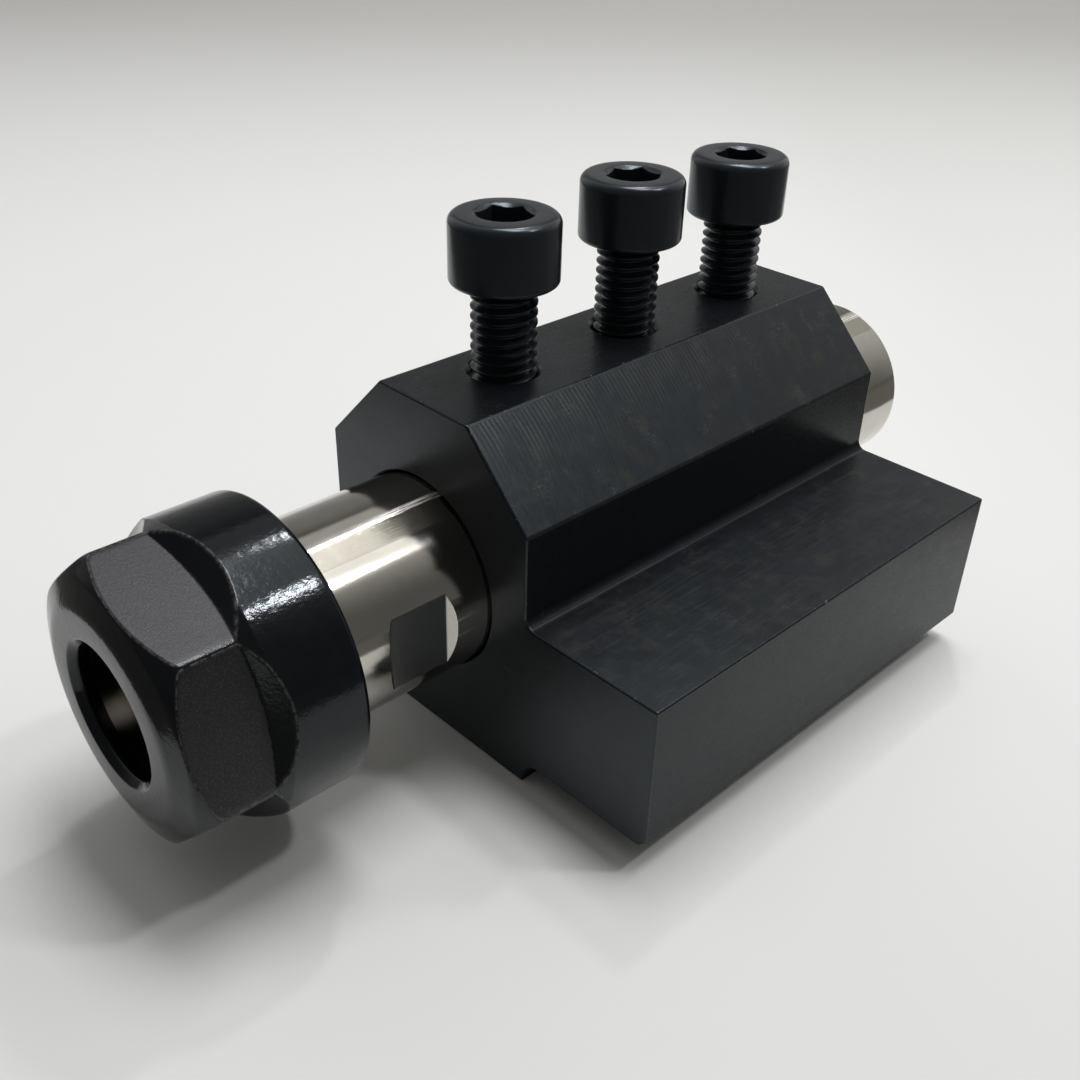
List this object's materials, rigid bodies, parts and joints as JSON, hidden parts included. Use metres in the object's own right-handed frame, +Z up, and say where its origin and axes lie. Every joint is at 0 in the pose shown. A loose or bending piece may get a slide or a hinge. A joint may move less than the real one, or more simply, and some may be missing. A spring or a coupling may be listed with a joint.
{
  "type": "boring bar holder",
  "caption": "Bored lathe tool block with a square clamping ledge and top clamp screws, holding a straight-shank collet chuck with a hexagon nut in its bore.",
  "frame": {"origin": "middle of the ledge's underside, the seat that lies on the tool post", "axes": "+Z up, +Y along the bore towards the rear, +X from the bore towards the ledge"},
  "size_m": [0.0561, 0.1285, 0.0648],
  "materials": {
    "black_block": "black oxide over milled steel, satin",
    "black_nut": "black oxide, smooth and oiled",
    "black_screw": "black oxide, smooth",
    "ground_steel": "ground bright"
  },
  "bodies": {
    "holder": {"holder_body": "black_block"},
    "chuck": {"chuck_body": "ground_steel"},
    "nut": {"clamping_nut": "black_nut"},
    "screw_front": {"clamp_screw_front": "black_screw"},
    "screw_middle": {"clamp_screw_middle": "black_screw"},
    "screw_rear": {"clamp_screw_rear": "black_screw"}
  },
  "joints": [
    {"name": "chuck_slide", "type": "slide", "parent": "holder", "child": "chuck", "axis": [0, 1, 0], "range_m": [-0.025, 0.02]},
    {"name": "nut_turn", "type": "hinge", "parent": "chuck", "child": "nut", "pos_m": [-0.0285, -0.0543, 0.019], "axis": [0, -1, 0], "continuous": true},
    {"name": "clamp_screw_front_slide", "type": "slide", "parent": "holder", "child": "screw_front", "axis": [0, 0, 1], "range_m": [-0.0011, 0.0069]},
    {"name": "clamp_screw_middle_slide", "type": "slide", "parent": "holder", "child": "screw_middle", "axis": [0, 0, 1], "range_m": [-0.0018, 0.0062]},
    {"name": "clamp_screw_rear_slide", "type": "slide", "parent": "holder", "child": "screw_rear", "axis": [0, 0, 1], "range_m": [-0.0009, 0.0071]}
  ]
}
